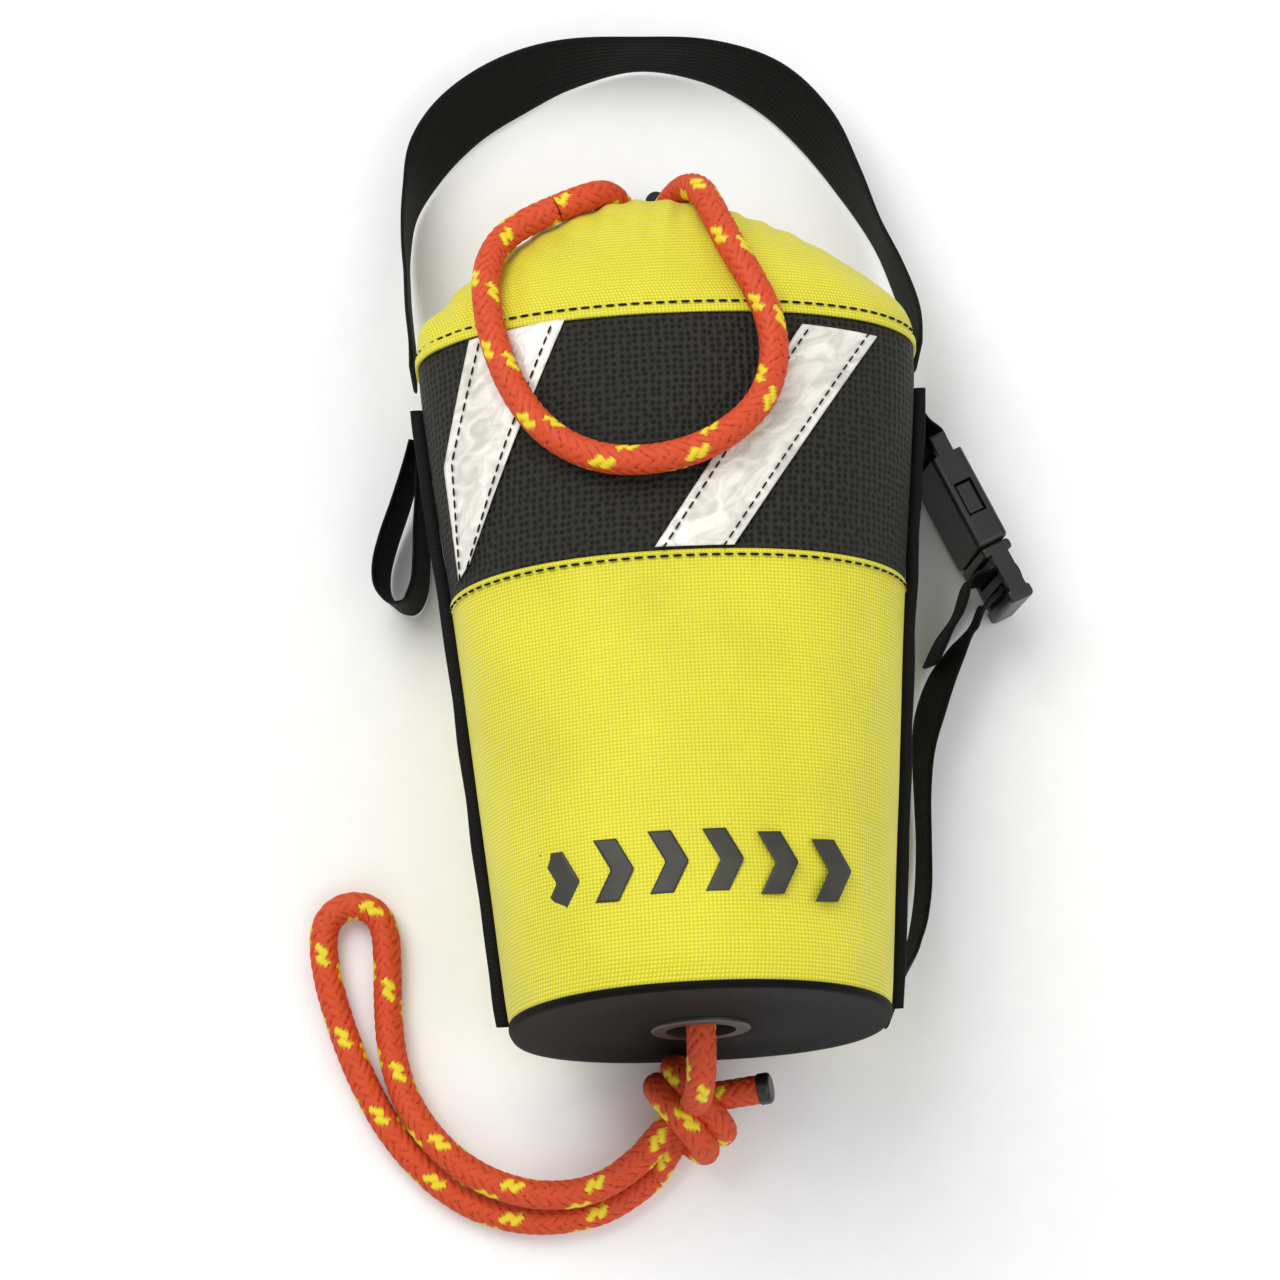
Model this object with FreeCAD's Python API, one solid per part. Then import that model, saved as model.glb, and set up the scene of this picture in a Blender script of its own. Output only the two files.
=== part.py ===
import FreeCAD, Part
import math
import os
from FreeCAD import Vector

# Throw rope bag lying on its back, in millimetres.
# +Y runs from the base to the mouth, +Z is up, and z = 0 is the table.
# The origin is on the flat of the back, on the bag's centre line.

# ---- driving dimensions ---------------------------------------------------------------

base_diameter = 120.0        # round base
base_station = -135.0        # where the base meets the table
mesh_station = 5.0           # seam from the lower panel to the mesh
collar_station = 87.0        # seam from the mesh to the collar
mouth_station = 141.0        # end of the collar, gathered by the drawcord
lean = 0.14                  # the front is pulled towards the mouth by this share of its height

mesh_seam_width = 147.0
mesh_seam_height = 94.0
collar_seam_width = 164.0
collar_seam_height = 80.0
mouth_width = 28.0
mouth_height = 26.0
mouth_lift = 18.0            # height of the mouth's underside over the table
mouth_shift = -6.0           # the gathered mouth sits this far to one side
side_seam_share = 0.49       # height of the side seams, as a share of the bag's height

fabric = 1.6                 # nylon with its seam allowance
base_cloth = 2.2             # coated base disc
binding_width = 4.2          # how far the seam binding stands out
binding_thickness = 2.8
strap_seat = 13.0            # length of side seam that is left free for the carry strap
tape_width = 25.0            # reflective tape, measured across the bag
tape_thickness = 0.5
float_thickness = 15.0       # closed-cell foam disc
seating = 0.3                # clearance between the lining and what it holds

grommet_bore = 22.0
grommet_flange = 31.0
grommet_sheet = 1.0
grommet_lip = 1.4

rope = 9.5                   # floating rescue rope
cord = 3.0                   # drawcord

webbing_width = 25.0
webbing_thickness = 1.5

buckle_length = 41.0         # female half
buckle_side = 4.5            # each side of the webbing
buckle_thickness = 11.5
buckle_wall = 2.0
buckle_fit = 0.35            # clearance between the two halves
buckle_lean = 6.0            # degrees, the top edge leans outwards
ladder_length = 21.0         # male half outside the female one
prong_thickness = 2.6
slot_width = 4.4             # opening that webbing passes through

lock_diameter = 13.0
lock_length = 20.0
lock_travel = 4.0
plunger_diameter = 9.0

os.makedirs("parts", exist_ok=True)


def save(name, shape):
    """Write one sub-part and say what it is."""
    shape.exportStep("parts/" + name + ".step")
    print(name, "solids", len(shape.Solids), "valid", shape.isValid(), "mm3", round(shape.Volume))


# ---- the bag's form -------------------------------------------------------------------

def section(station, width, height, lift, shift, grow=0.0):
    """One closed cross-section: a full round front over a flatter back."""
    middle = side_seam_share * height
    points = []
    steps = 20
    for i in range(steps):
        turn = 2 * math.pi * i / steps
        c = math.cos(turn)
        s = math.sin(turn)
        power = 2.0 / (2.15 if s >= 0 else 2.5)
        reach = height - middle if s >= 0 else middle + (0.0 if lift else 0.4)
        x = shift + math.copysign(abs(c) ** power, c) * (width / 2 + grow)
        z = lift + middle + math.copysign(abs(s) ** power, s) * (reach + grow)
        points.append(Vector(x, station + lean * z, z))
    curve = Part.BSplineCurve()
    curve.interpolate(Points=points, PeriodicFlag=True)
    return Part.Wire([curve.toShape()])


def between(start, stop, share):
    """The value at this share of the way from start to stop."""
    return start + (stop - start) * share


def stations():
    """Section sizes from the base to the gathered mouth: (station, width, height, lift, shift)."""
    base = base_diameter
    wide = collar_seam_width
    tall = collar_seam_height
    rows = [
        (base_station, base - 1.5, base - 1.0, 0.0, 0.0),
        (base_station + 12, base + 1.5, base, 0.0, 0.0),
        (base_station / 2, between(base, mesh_seam_width, 0.46), between(base, mesh_seam_height, 0.42), 0.0, 0.0),
        (mesh_station, mesh_seam_width, mesh_seam_height, 0.0, 0.0),
        (between(mesh_station, collar_station, 0.5), between(mesh_seam_width, wide, 0.56),
         between(mesh_seam_height, tall, 0.45), 0.0, 0.0),
        (collar_station, wide, tall, 0.0, 0.0),
    ]
    # the collar narrows in a hood: shares of its length, width, height, and of its lift and shift
    for along, across, up, lift in [
        (0.22, 0.03, 0.08, 0.0),
        (0.43, 0.19, 0.20, 0.12),
        (0.63, 0.38, 0.36, 0.28),
        (0.80, 0.59, 0.56, 0.50),
        (0.92, 0.80, 0.77, 0.75),
        (1.0, 1.0, 1.0, 1.0),
    ]:
        rows.append((
            between(collar_station, mouth_station, along), between(wide, mouth_width, across),
            between(tall, mouth_height, up), mouth_lift * lift, mouth_shift * lift))
    return rows


def size_at(station):
    """Width, height, lift and shift of the bag at any station, on straight lines between the rows."""
    rows = stations()
    for before, after in zip(rows, rows[1:]):
        if station <= after[0] + 1e-9:
            break
    share = (station - before[0]) / (after[0] - before[0])
    return [between(before[i], after[i], share) for i in (1, 2, 3, 4)]


def bag_side(y):
    """Half the bag's width at a place along it."""
    return size_at(max(base_station, min(y, mouth_station)))[0] / 2


def hull(grow=0.0):
    """The bag's closed outer form, grown or shrunk by an even amount."""
    count = 22
    places = [between(base_station, mouth_station, i / count) for i in range(count + 1)]
    wires = [section(place, *size_at(place), grow) for place in places]
    return Part.makeLoft(wires, True, False)


def slab(start, stop):
    """Everything between two leaning planes across the bag."""
    far = 200.0
    corners = [
        Vector(-far, start - lean * far, -far),
        Vector(-far, stop - lean * far, -far),
        Vector(-far, stop + lean * far, far),
        Vector(-far, start + lean * far, far),
    ]
    face = Part.Face(Part.makePolygon(corners + corners[:1]))
    return face.extrude(Vector(2 * far, 0, 0))


def seam_height(y):
    """Height of the side seam at a place along the bag, on one straight line."""
    start_z = side_seam_share * base_diameter
    stop_z = side_seam_share * collar_seam_height
    share = (y - base_station) / (collar_station - base_station)
    return start_z + share * (stop_z - start_z)


def seam_block(offset, above=True):
    """Everything above or below the side seams, moved up by an offset."""
    near = -250.0
    far = 250.0
    tall = 300.0 if above else -300.0
    corners = [
        Vector(-200, near, seam_height(near) + offset),
        Vector(-200, far, seam_height(far) + offset),
        Vector(-200, far, seam_height(far) + offset + tall),
        Vector(-200, near, seam_height(near) + offset + tall),
    ]
    face = Part.Face(Part.makePolygon(corners + corners[:1]))
    return face.extrude(Vector(400, 0, 0))


table_top = Part.makeBox(600, 600, 300, Vector(-300, -300, 0))
outer = hull().common(table_top)
inner = hull(-fabric)
front_half = seam_block(0.0, True)
back_half = seam_block(0.0, False)


# ---- rope through the mouth -----------------------------------------------------------

def tube(name, points, diameter):
    """A rope along straight runs joined by arcs as large as the runs allow."""
    route = [Vector(*p) for p in points]
    edges = []
    radii = []
    here = route[0]
    for before, corner, after in zip(route, route[1:], route[2:]):
        come = (corner - before).normalize()
        go = (after - corner).normalize()
        turn = come.getAngle(go)
        reach = 0.45 * min(before.distanceToPoint(corner), corner.distanceToPoint(after))
        start = corner - come * reach
        stop = corner + go * reach
        bisector = (go - come).normalize()
        radius = reach / math.tan(turn / 2)
        centre = corner + bisector * (radius / math.cos(turn / 2))
        edges.append(Part.LineSegment(here, start).toShape())
        middle = centre - bisector * radius
        edges.append(Part.Arc(start, middle, stop).toShape())
        radii.append(radius)
        here = stop
    edges.append(Part.LineSegment(here, route[-1]).toShape())
    path = Part.Wire(edges)
    first = (route[1] - route[0]).normalize()
    ring = Part.Wire([Part.Circle(route[0], first, diameter / 2).toShape()])
    solid = path.makePipeShell([ring], True, False)
    expected = math.pi * diameter ** 2 / 4 * path.Length
    print(name, "length", round(path.Length, 1), "volume share", round(solid.Volume / expected, 4))
    print("   radii", [round(r, 1) for r in radii])
    return solid


# the two legs of the thrower's loop run through the mouth to the stuffed rope
mouth_left_route = [
    (-33.6, 142.15, 55.5), (-24.9, 145.5, 55.1), (-16.5, 149.4, 48.0), (-11.3, 145.5, 38.5),
    (-11.1, 135.8, 32.4), (-11.5, 125.2, 31.2), (-11.5, 114.7, 32.2),
]
mouth_right_route = [
    (16.2, 137.3, 66.7), (14.1, 144.4, 61.2), (10.2, 149.0, 51.8), (6.0, 149.2, 43.2),
    (1.5, 145.0, 35.2), (-1.2, 136.2, 31.0), (-1.4, 125.2, 30.2), (-1.2, 114.3, 31.6),
]
mouth_left = tube("mouth_rope_left", mouth_left_route, rope)
mouth_right = tube("mouth_rope_right", mouth_right_route, rope)

# the drawcord leaves the hem through a hole in its underside
cord_ring_stop = mouth_station - 5.0
cord_exit = Vector(0, cord_ring_stop + 0.7, 0)
drop_radius = cord / 2 + 0.4
cord_hole = Part.makeCylinder(drop_radius + seating, mouth_lift + 4.0, cord_exit)


# ---- walls of the bag -----------------------------------------------------------------

def panel(start, stop, half):
    """A piece of the bag's wall between two seams."""
    return outer.common(slab(start, stop)).common(half).cut(inner.common(lining_room))


lining_room = Part.makeBox(600, 600, 300, Vector(-300, -300, fabric))
first_cloth = base_station + base_cloth

for name, start, stop in [("lower_panel", first_cloth, mesh_station), ("mesh_panel", mesh_station, collar_station)]:
    save(name + "_front", panel(start, stop, front_half))
    save(name + "_back", panel(start, stop, back_half))

hem_trim = 0.5
for name, half in [("collar_front", front_half), ("collar_back", back_half)]:
    save(name, panel(collar_station, mouth_station - hem_trim, half).cut(cord_hole))


# ---- base disc, float and grommet -----------------------------------------------------

base_tilt = math.degrees(math.atan(lean))
base_middle = base_diameter / 2


def in_base(shape, depth=0.0):
    """Stand a shape made along +Z in the base's middle, pointing out of the bag."""
    moved = shape.copy()
    moved.rotate(Vector(0, 0, 0), Vector(1, 0, 0), 90 - base_tilt)
    away = Vector(0, math.cos(math.radians(base_tilt)), -math.sin(math.radians(base_tilt)))
    start = Vector(0, base_station + lean * base_middle, base_middle)
    moved.translate(start + away * depth)
    return moved


barrel_outside = grommet_bore / 2 + grommet_sheet
long_bore = in_base(Part.makeCylinder(barrel_outside, 80, Vector(0, 0, -60)))
base_panel = outer.common(slab(base_station - 5, first_cloth)).cut(long_bore)
save("base_panel", base_panel)

# the eyelet: a flange outside, a barrel through the cloth and a rolled edge inside
cloth_depth = base_cloth * math.cos(math.radians(base_tilt))
clinch = grommet_sheet * 2
flange = Part.makeCylinder(grommet_flange / 2, grommet_lip, Vector(0, 0, 0))
flange = flange.makeFillet(grommet_lip * 0.45, [flange.Edges[0]])
barrel = Part.makeCylinder(barrel_outside, cloth_depth + clinch + grommet_lip, Vector(0, 0, -cloth_depth - clinch))
roll = Part.makeCylinder(barrel_outside + 1.2, grommet_sheet, Vector(0, 0, -cloth_depth - clinch))
bore = Part.makeCylinder(grommet_bore / 2, 80, Vector(0, 0, -40))
eyelet = flange.fuse(barrel).fuse(roll).cut(bore).removeSplitter()
save("grommet_eyelet", in_base(eyelet))

washer = Part.makeCylinder(grommet_flange / 2, grommet_sheet, Vector(0, 0, -cloth_depth - grommet_sheet))
washer = washer.cut(Part.makeCylinder(barrel_outside, 80, Vector(0, 0, -40)))
save("grommet_washer", in_base(washer))

float_start = first_cloth + seating
float_stop = float_start + float_thickness
float_hole = in_base(Part.makeCylinder(grommet_flange / 2 + 1.0, 80, Vector(0, 0, -60)))
lining = hull(-fabric - seating).common(
    Part.makeBox(600, 600, 300, Vector(-300, -300, fabric + seating)))
save("foam_float", lining.common(slab(float_start, float_stop)).cut(float_hole))

# the stuffed rope fills the bag from the float to the drawcord
rope_stop = mouth_station - 30.0
pack = lining.common(slab(float_stop + 1.0, rope_stop))
save("stowed_rope", pack)
save("mouth_rope_left", mouth_left.cut(pack))
save("mouth_rope_right", mouth_right.cut(pack))


# ---- seam bindings and reflective tapes -----------------------------------------------

binding_span = slab(first_cloth, collar_station - strap_seat)
strip = seam_block(-binding_thickness / 2, True).common(seam_block(binding_thickness / 2, False))
binding = hull(binding_width).common(strip).common(binding_span).cut(hull(0.02))
for name, low in [("side_binding_left", -300.0), ("side_binding_right", 0.0)]:
    save(name, binding.common(Part.makeBox(300, 600, 300, Vector(low, -300, 0))))

tape_skin = hull(tape_thickness).cut(hull(0.02)).common(slab(mesh_station + 0.5, collar_station - 0.5))
tape_skin = tape_skin.common(seam_block(binding_thickness / 2 + 0.5, True))
tape_start = mesh_station + lean * mesh_seam_height - 6
tape_stop = collar_station + lean * collar_seam_height + 6
tape_run = 0.69 * (tape_stop - tape_start)


def tape(outline):
    """Reflective tape on the mesh, cut by an upright wall with this outline."""
    corners = [Vector(x, y, 0) for x, y in outline]
    wall = Part.Face(Part.makePolygon(corners + corners[:1])).extrude(Vector(0, 0, 200))
    return tape_skin.common(wall)


right_foot = -12.0
save("reflective_tape_right", tape([
    (right_foot, tape_start),
    (right_foot + tape_width, tape_start),
    (right_foot + tape_width + tape_run, tape_stop),
    (right_foot + tape_run, tape_stop),
]))
left_head = -31.0
save("reflective_tape_left", tape([
    (left_head, tape_stop),
    (left_head - tape_width - 7, tape_stop),
    (left_head - 53, 54),
    (left_head - 53, tape_start),
    (left_head - 44, tape_start),
    (left_head - 32, 34),
    (left_head - 17, 66),
]))


# ---- hand loop, knot and thrower's loop ------------------------------------------------

# the hand loop lies on the table beside the base, doubled back on itself
hand_loop_route = [
    (-16.5, -171.5, 5.2), (-27.0, -179.5, 4.9), (-41.0, -184.0, 4.8), (-58.0, -184.5, 4.8),
    (-75.0, -179.5, 4.8), (-90.0, -168.5, 4.8), (-102.5, -153.0, 4.8), (-111.5, -135.0, 4.8),
    (-118.0, -116.0, 4.8), (-122.0, -99.0, 4.8), (-122.3, -85.4, 4.8), (-116.4, -79.0, 4.8),
    (-107.7, -78.8, 4.8), (-101.6, -85.0, 4.8), (-101.2, -98.5, 4.8), (-101.7, -115.0, 4.8),
    (-100.5, -131.0, 5.5), (-95.5, -146.0, 8.0), (-86.0, -159.5, 11.5), (-73.0, -170.0, 13.2),
    (-57.0, -176.0, 13.4), (-41.0, -176.5, 13.0), (-28.0, -172.0, 13.4), (-19.5, -165.0, 14.6),
]
save("hand_loop", tube("hand_loop", hand_loop_route, rope))

# the knot that keeps the rope from pulling back through the grommet
knot_size = Vector(37.0, 32.0, 35.0)
knot_corner = Vector(-22.0, -168.5, 0.3)
knot = Part.makeBox(knot_size.x, knot_size.y, knot_size.z, knot_corner)
knot = knot.makeFillet(12.0, knot.Edges)
throat_route = [
    (0.0, -104.0, 61.0), (0.0, -114.0, 60.4), (0.0, -124.5, 60.6), (0.0, -134.5, 59.0),
    (-0.6, -143.0, 53.5), (-1.6, -147.5, 45.0), (-2.4, -149.0, 36.0), (-2.6, -149.6, 28.0),
]
throat = tube("rope_throat", throat_route, rope)
tail_start = Vector(4.0, -147.5, 26.0)
tail_way = Vector(0.96, 0.10, 0.24).normalize()
tail_length = 15.0
tip_length = 4.0
tail = Part.makeCylinder(rope / 2, tail_length, tail_start, tail_way)
tip = Part.makeCylinder(rope / 2 + 0.3, tip_length, tail_start + tail_way * tail_length, tail_way)
tip = tip.makeFillet(1.4, [max(tip.Edges, key=lambda e: e.CenterOfMass.x)])
save("stopper_knot", knot)
save("rope_throat", throat.cut(knot).cut(pack))
save("rope_tail", tail.cut(knot))
save("rope_tail_tip", tip.cut(knot))

# the thrower's loop comes out of the mouth behind the peak and lies on the front
top_loop_route = [
    (-34.0, 142.0, 55.5), (-45.5, 137.5, 56.0), (-54.0, 129.5, 59.0), (-57.5, 117.0, 67.5),
    (-57.0, 102.0, 75.0), (-54.0, 87.0, 80.0), (-49.0, 73.0, 84.0), (-41.5, 61.0, 87.5),
    (-32.0, 52.5, 91.5), (-20.5, 47.5, 94.5), (-7.5, 46.5, 96.0), (6.0, 49.0, 95.5),
    (18.0, 55.0, 94.0), (28.5, 65.0, 91.0), (33.5, 78.5, 87.5), (33.0, 93.5, 84.0),
    (28.0, 107.0, 81.0), (22.5, 119.0, 77.0), (18.8, 129.0, 72.5), (16.3, 137.0, 67.0),
]
save("thrower_loop", tube("thrower_loop", top_loop_route, rope))

# ---- drawcord and cord lock -----------------------------------------------------------

# the drawcord runs round inside the hem, drops through the lock and ends in one knot
ring_outside = -fabric - seating
ring = hull(ring_outside).cut(hull(ring_outside - cord))
ring = ring.common(slab(cord_ring_stop - cord, cord_ring_stop))
lock_seat = Vector(0, 149.0, 7.2)
cord_step = cord / 2 + 0.05
knot_reach = 9.6
drawcord = ring
for side in [-1, 1]:
    start = Vector(0, cord_exit.y, lock_seat.z + side * cord_step)
    run = Part.makeCylinder(cord / 2, lock_seat.y + knot_reach - 2.0 - start.y, start, Vector(0, 1, 0))
    drawcord = drawcord.fuse(run)
drop_start = lock_seat.z - cord_step
drop = Part.makeCylinder(drop_radius, mouth_lift - 2.0 - drop_start, Vector(0, cord_exit.y, drop_start))
knot_ball = Part.makeSphere(3.7, lock_seat + Vector(0, knot_reach, 0))
drawcord = drawcord.fuse([drop, knot_ball])
save("mouth_drawcord", drawcord)

lock_wall = 2.0
lock_fit = 0.2
lock_window = 7.6
lock_back = lock_seat - Vector(lock_length * 0.62, 0, 0)
barrel = Part.makeCylinder(lock_diameter / 2, lock_length, lock_back, Vector(1, 0, 0))
barrel = barrel.makeFillet(1.2, [e for e in barrel.Edges if e.Curve.TypeId == "Part::GeomCircle"])
hollow = Part.makeCylinder(
    plunger_diameter / 2 + lock_fit, lock_length, lock_back + Vector(lock_wall, 0, 0), Vector(1, 0, 0))
window = Part.makeCylinder(lock_window / 2, 40.0, lock_seat - Vector(0, 20, 0), Vector(0, 1, 0))
save("lock_barrel", barrel.cut(hollow).cut(window))

plunger_back = lock_seat.x - cord / 2 - 1.8
plunger_front = lock_back.x + lock_length + lock_travel + 1.0
plunger = Part.makeCylinder(
    plunger_diameter / 2, plunger_front - plunger_back, Vector(plunger_back, lock_seat.y, lock_seat.z),
    Vector(1, 0, 0))
plunger = plunger.makeFillet(1.0, [max(plunger.Edges, key=lambda e: e.CenterOfMass.x)])
slot_start = lock_seat.x - cord / 2 - 0.3
slot = Part.makeBox(cord + 0.6 + lock_travel, 20.0, 2 * cord_step + cord + 0.6)
slot.translate(Vector(slot_start, lock_seat.y - 10, lock_seat.z - cord_step - cord / 2 - 0.3))
save("lock_plunger", plunger.cut(slot))

spring_wire = 0.8
spring_start = lock_back.x + lock_wall + spring_wire / 2 + 0.1
spring_length = plunger_back - spring_wire / 2 - 0.1 - spring_start
spring_radius = plunger_diameter / 2 - spring_wire
helix = Part.makeHelix(spring_length / 3, spring_length, spring_radius)
wire_ring = Part.Wire([Part.Circle(Vector(spring_radius, 0, 0), Vector(0, 1, 0), spring_wire / 2).toShape()])
spring = Part.Wire(helix.Edges).makePipeShell([wire_ring], True, True)
spring.rotate(Vector(0, 0, 0), Vector(0, 1, 0), 90)
spring.translate(Vector(spring_start, lock_seat.y, lock_seat.z))
save("lock_spring", spring)


# ---- side-release buckle --------------------------------------------------------------

# made flat: x along the strap, y across it, z through it, then stood on its edge
buckle_width = webbing_width + 2 * buckle_side
buckle_start = Vector(bag_side(65.0) + 6.6, 65.0, 0.0)
buckle_way = Vector(0.408, -0.913, 0.0).normalize()
tip_out = math.radians(buckle_lean)
beside = buckle_way.cross(Vector(0, 0, 1)).normalize()
upward = (Vector(0, 0, 1) * math.cos(tip_out) - beside * math.sin(tip_out)).normalize()
through = buckle_way.cross(upward).normalize()
stand = buckle_width / 2 * math.cos(tip_out) + buckle_thickness / 2 * math.sin(tip_out) + 0.3
buckle_middle = buckle_start + Vector(0, 0, stand)


def place(point):
    """Where a point of the flat buckle stands on the table."""
    return buckle_middle + buckle_way * point[0] + upward * point[1] + through * point[2]


def stand_up(shape):
    """Move a flat buckle part to where it stands."""
    matrix = FreeCAD.Matrix(
        buckle_way.x, upward.x, through.x, buckle_middle.x,
        buckle_way.y, upward.y, through.y, buckle_middle.y,
        buckle_way.z, upward.z, through.z, buckle_middle.z,
        0, 0, 0, 1)
    moved = shape.copy()
    moved.Placement = FreeCAD.Placement(matrix)
    return moved


def block(x0, x1, half_y, half_z, y0=None):
    """A box from x0 to x1, centred on the strap unless y0 gives its lower side."""
    low = -half_y if y0 is None else y0
    return Part.makeBox(x1 - x0, 2 * half_y, 2 * half_z, Vector(x0, low, -half_z))


half_width = buckle_width / 2
half_thick = buckle_thickness / 2
webbing_room = webbing_width / 2 + 0.5
bar = 3.0
cavity_start = 16.0
cavity_half_width = half_width - buckle_wall
cavity_half_thick = half_thick - buckle_wall
window_start = 18.0
window_length = 12.0
window_half = cavity_half_thick - 0.5

female = block(0, buckle_length, half_width, half_thick)
female = female.makeFillet(2.0, female.Edges)
thin_end = block(-1, bar + slot_width, half_width + 1, half_thick)
thin_end = thin_end.cut(block(-1, bar + slot_width, half_width + 1, 2.6))
female = female.cut(thin_end)
female = female.cut(block(bar, bar + slot_width, webbing_room, half_thick + 1))
female = female.cut(block(cavity_start, buckle_length + 1, cavity_half_width, cavity_half_thick))
female = female.cut(block(window_start, window_start + window_length, half_width + 1, window_half))
save("buckle_female", stand_up(female))

shoulder_start = buckle_length + buckle_fit
shoulder_stop = shoulder_start + 3.6
male_stop = buckle_length + ladder_length
slot_a = shoulder_stop + 1.4
slot_b = slot_a + slot_width + bar
male_half = half_width - 0.5
shoulder = block(shoulder_start, shoulder_stop, male_half, half_thick - 0.5)
shoulder = shoulder.makeFillet(1.2, shoulder.Edges)
ladder = block(shoulder_stop - 1.3, male_stop - 2.0, male_half, 3.0)
grip = block(male_stop - 4.6, male_stop, male_half, 4.4)
grip = grip.makeFillet(1.5, grip.Edges)
tongue = block(cavity_start + 3.0, shoulder_start + 1.3, 2.5, cavity_half_thick - 1.0)
male = shoulder.fuse([ladder, grip, tongue])
male = male.cut(block(slot_a, slot_a + slot_width, webbing_room, 10))
male = male.cut(block(slot_b, slot_b + slot_width, webbing_room, 10)).removeSplitter()
save("buckle_male", stand_up(male))

prong_stop = shoulder_start - buckle_fit
prong_outside = cavity_half_width - buckle_fit
prong_inside = prong_outside - prong_thickness
button_out = half_width - 0.4
button_start = window_start + 0.6
button_stop = window_start + window_length - 0.6
for name, side in [("buckle_prong_upper", 1), ("buckle_prong_lower", -1)]:
    arm = block(button_start + 1.5, prong_stop, prong_thickness / 2, cavity_half_thick - 0.6, prong_inside)
    button = block(button_start, button_stop, (button_out - prong_inside) / 2, window_half - 0.4, prong_inside)
    button = button.makeFillet(0.9, [e for e in button.Edges if e.CenterOfMass.y > button_out - 0.01])
    prong = arm.fuse(button).removeSplitter()
    if side < 0:
        prong = prong.mirror(Vector(0, 0, 0), Vector(0, 1, 0))
    save(name, stand_up(prong))


# ---- webbing --------------------------------------------------------------------------

def ribbon(route, width=webbing_width, thickness=webbing_thickness):
    """Flat webbing on its edge through stations (x, y, height off the table, lean_x, lean_y)."""
    spots = [Vector(row[0], row[1], row[2] + width / 2) for row in route]
    rings = []
    for i, row in enumerate(route):
        before = spots[max(i - 1, 0)]
        after = spots[min(i + 1, len(spots) - 1)]
        along = (after - before).normalize()
        up = Vector(row[3], row[4], 1.0)
        up = (up - along * up.dot(along)).normalize()
        a = up * (width / 2)
        b = along.cross(up).normalize() * (thickness / 2)
        rings.append([spots[i] + a + b, spots[i] + a - b, spots[i] - a - b, spots[i] - a + b])
    faces = [Part.Face(Part.makePolygon(ring + ring[:1])) for ring in (rings[0], rings[-1])]
    for here, there in zip(rings, rings[1:]):
        for i in range(4):
            near_edge = Part.makeLine(here[i - 1], here[i])
            far_edge = Part.makeLine(there[i - 1], there[i])
            faces.append(Part.makeRuledSurface(near_edge, far_edge))
    shell = Part.makeShell(faces)
    shell.sewShape()
    solid = Part.makeSolid(shell)
    if solid.Volume < 0:
        solid.reverse()
    return solid


# the carry strap is sewn to both side seams and lies on its edge in an arch
strap_end = 94.0
strap_inside = collar_seam_width / 2 + 2.3
arch = [
    (-1.0, strap_end, 17.5, 0.0, 0.0),
    (-1.0, 104.0, 15.5, 0.0, 0.0),
    (-1.011, 116.0, 10.5, 0.0, 0.0),
    (-1.02, 130.0, 5.0, 0.02, 0.0),
    (-1.023, 145.0, 2.0, -0.03, 0.0),
    (-0.996, 161.0, 1.1, -0.15, 0.05),
    (-0.919, 177.0, -0.3, -0.45, 0.3),
    (-0.783, 190.5, -1.5, -0.55, 0.55),
    (-0.593, 200.5, -1.3, -0.35, 0.7),
    (-0.356, 207.5, 0.1, -0.1, 0.42),
    (-0.059, 210.0, 1.1, 0.0, 0.12),
    (0.237, 206.5, 0.7, 0.1, 0.25),
    (0.486, 196.5, -0.2, 0.35, 0.4),
    (0.664, 180.5, -0.1, 0.4, 0.3),
    (0.789, 161.0, 0.7, 0.22, 0.1),
    (0.884, 142.0, 2.5, 0.05, 0.0),
    (0.955, 124.0, 6.5, 0.08, 0.0),
    (1.0, 107.0, 13.5, 0.06, 0.0),
    (1.0, strap_end, 16.5, 0.02, 0.0),
]
save("carry_strap", ribbon([(share * strap_inside, *rest) for share, *rest in arch]))

# a folded tab on the left side seam
tab = [
    (2.7, 75.0, 7.0, -0.12, 0.0),
    (6.4, 66.0, 4.8, -0.13, 0.0),
    (12.0, 54.0, 2.4, -0.15, 0.0),
    (17.7, 42.5, 1.0, -0.16, 0.0),
    (21.4, 33.0, 0.7, -0.16, 0.0),
    (22.1, 25.5, 0.7, -0.16, 0.0),
    (18.9, 20.3, 0.7, -0.16, 0.0),
    (14.0, 20.0, 0.7, -0.16, 0.0),
    (10.1, 25.5, 0.7, -0.16, 0.0),
    (7.9, 34.0, 0.8, -0.16, 0.0),
    (6.1, 45.0, 1.4, -0.15, 0.0),
    (3.6, 58.0, 3.4, -0.13, 0.0),
    (0.8, 74.0, 7.0, -0.12, 0.0),
]
save("tab_loop", ribbon([(-bag_side(y) - gap, y, *rest) for gap, y, *rest in tab]))

lean_x = upward.x / upward.z
lean_y = upward.y / upward.z


def on_buckle(x, z):
    """A webbing station at the buckle's mid-width."""
    point = place((x, 0, z))
    return (point.x, point.y, point.z - webbing_width / 2, lean_x, lean_y)


def off_side(gap, y, z, lean_x, lean_y):
    """A webbing station at a gap from the bag's right side."""
    return (bag_side(y) + gap, y, z, lean_x, lean_y)


# the female half's tab wraps its end bar
wrap = 2.6 + webbing_thickness / 2 + 0.5
slot_middle = bar + slot_width / 2
save("buckle_tab", ribbon([
    on_buckle(-11.0, 1.0),
    on_buckle(-6.0, 1.7),
    on_buckle(-2.0, wrap - 0.3),
    on_buckle(1.0, wrap),
    on_buckle(slot_middle - 1.0, wrap - 0.7),
    on_buckle(slot_middle, 1.2),
    on_buckle(slot_middle, -1.2),
    on_buckle(slot_middle - 1.0, -wrap + 0.7),
    on_buckle(1.0, -wrap),
    on_buckle(-2.0, -wrap + 0.3),
    on_buckle(-6.0, -1.7),
    on_buckle(-11.0, -1.0),
]))

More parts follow.
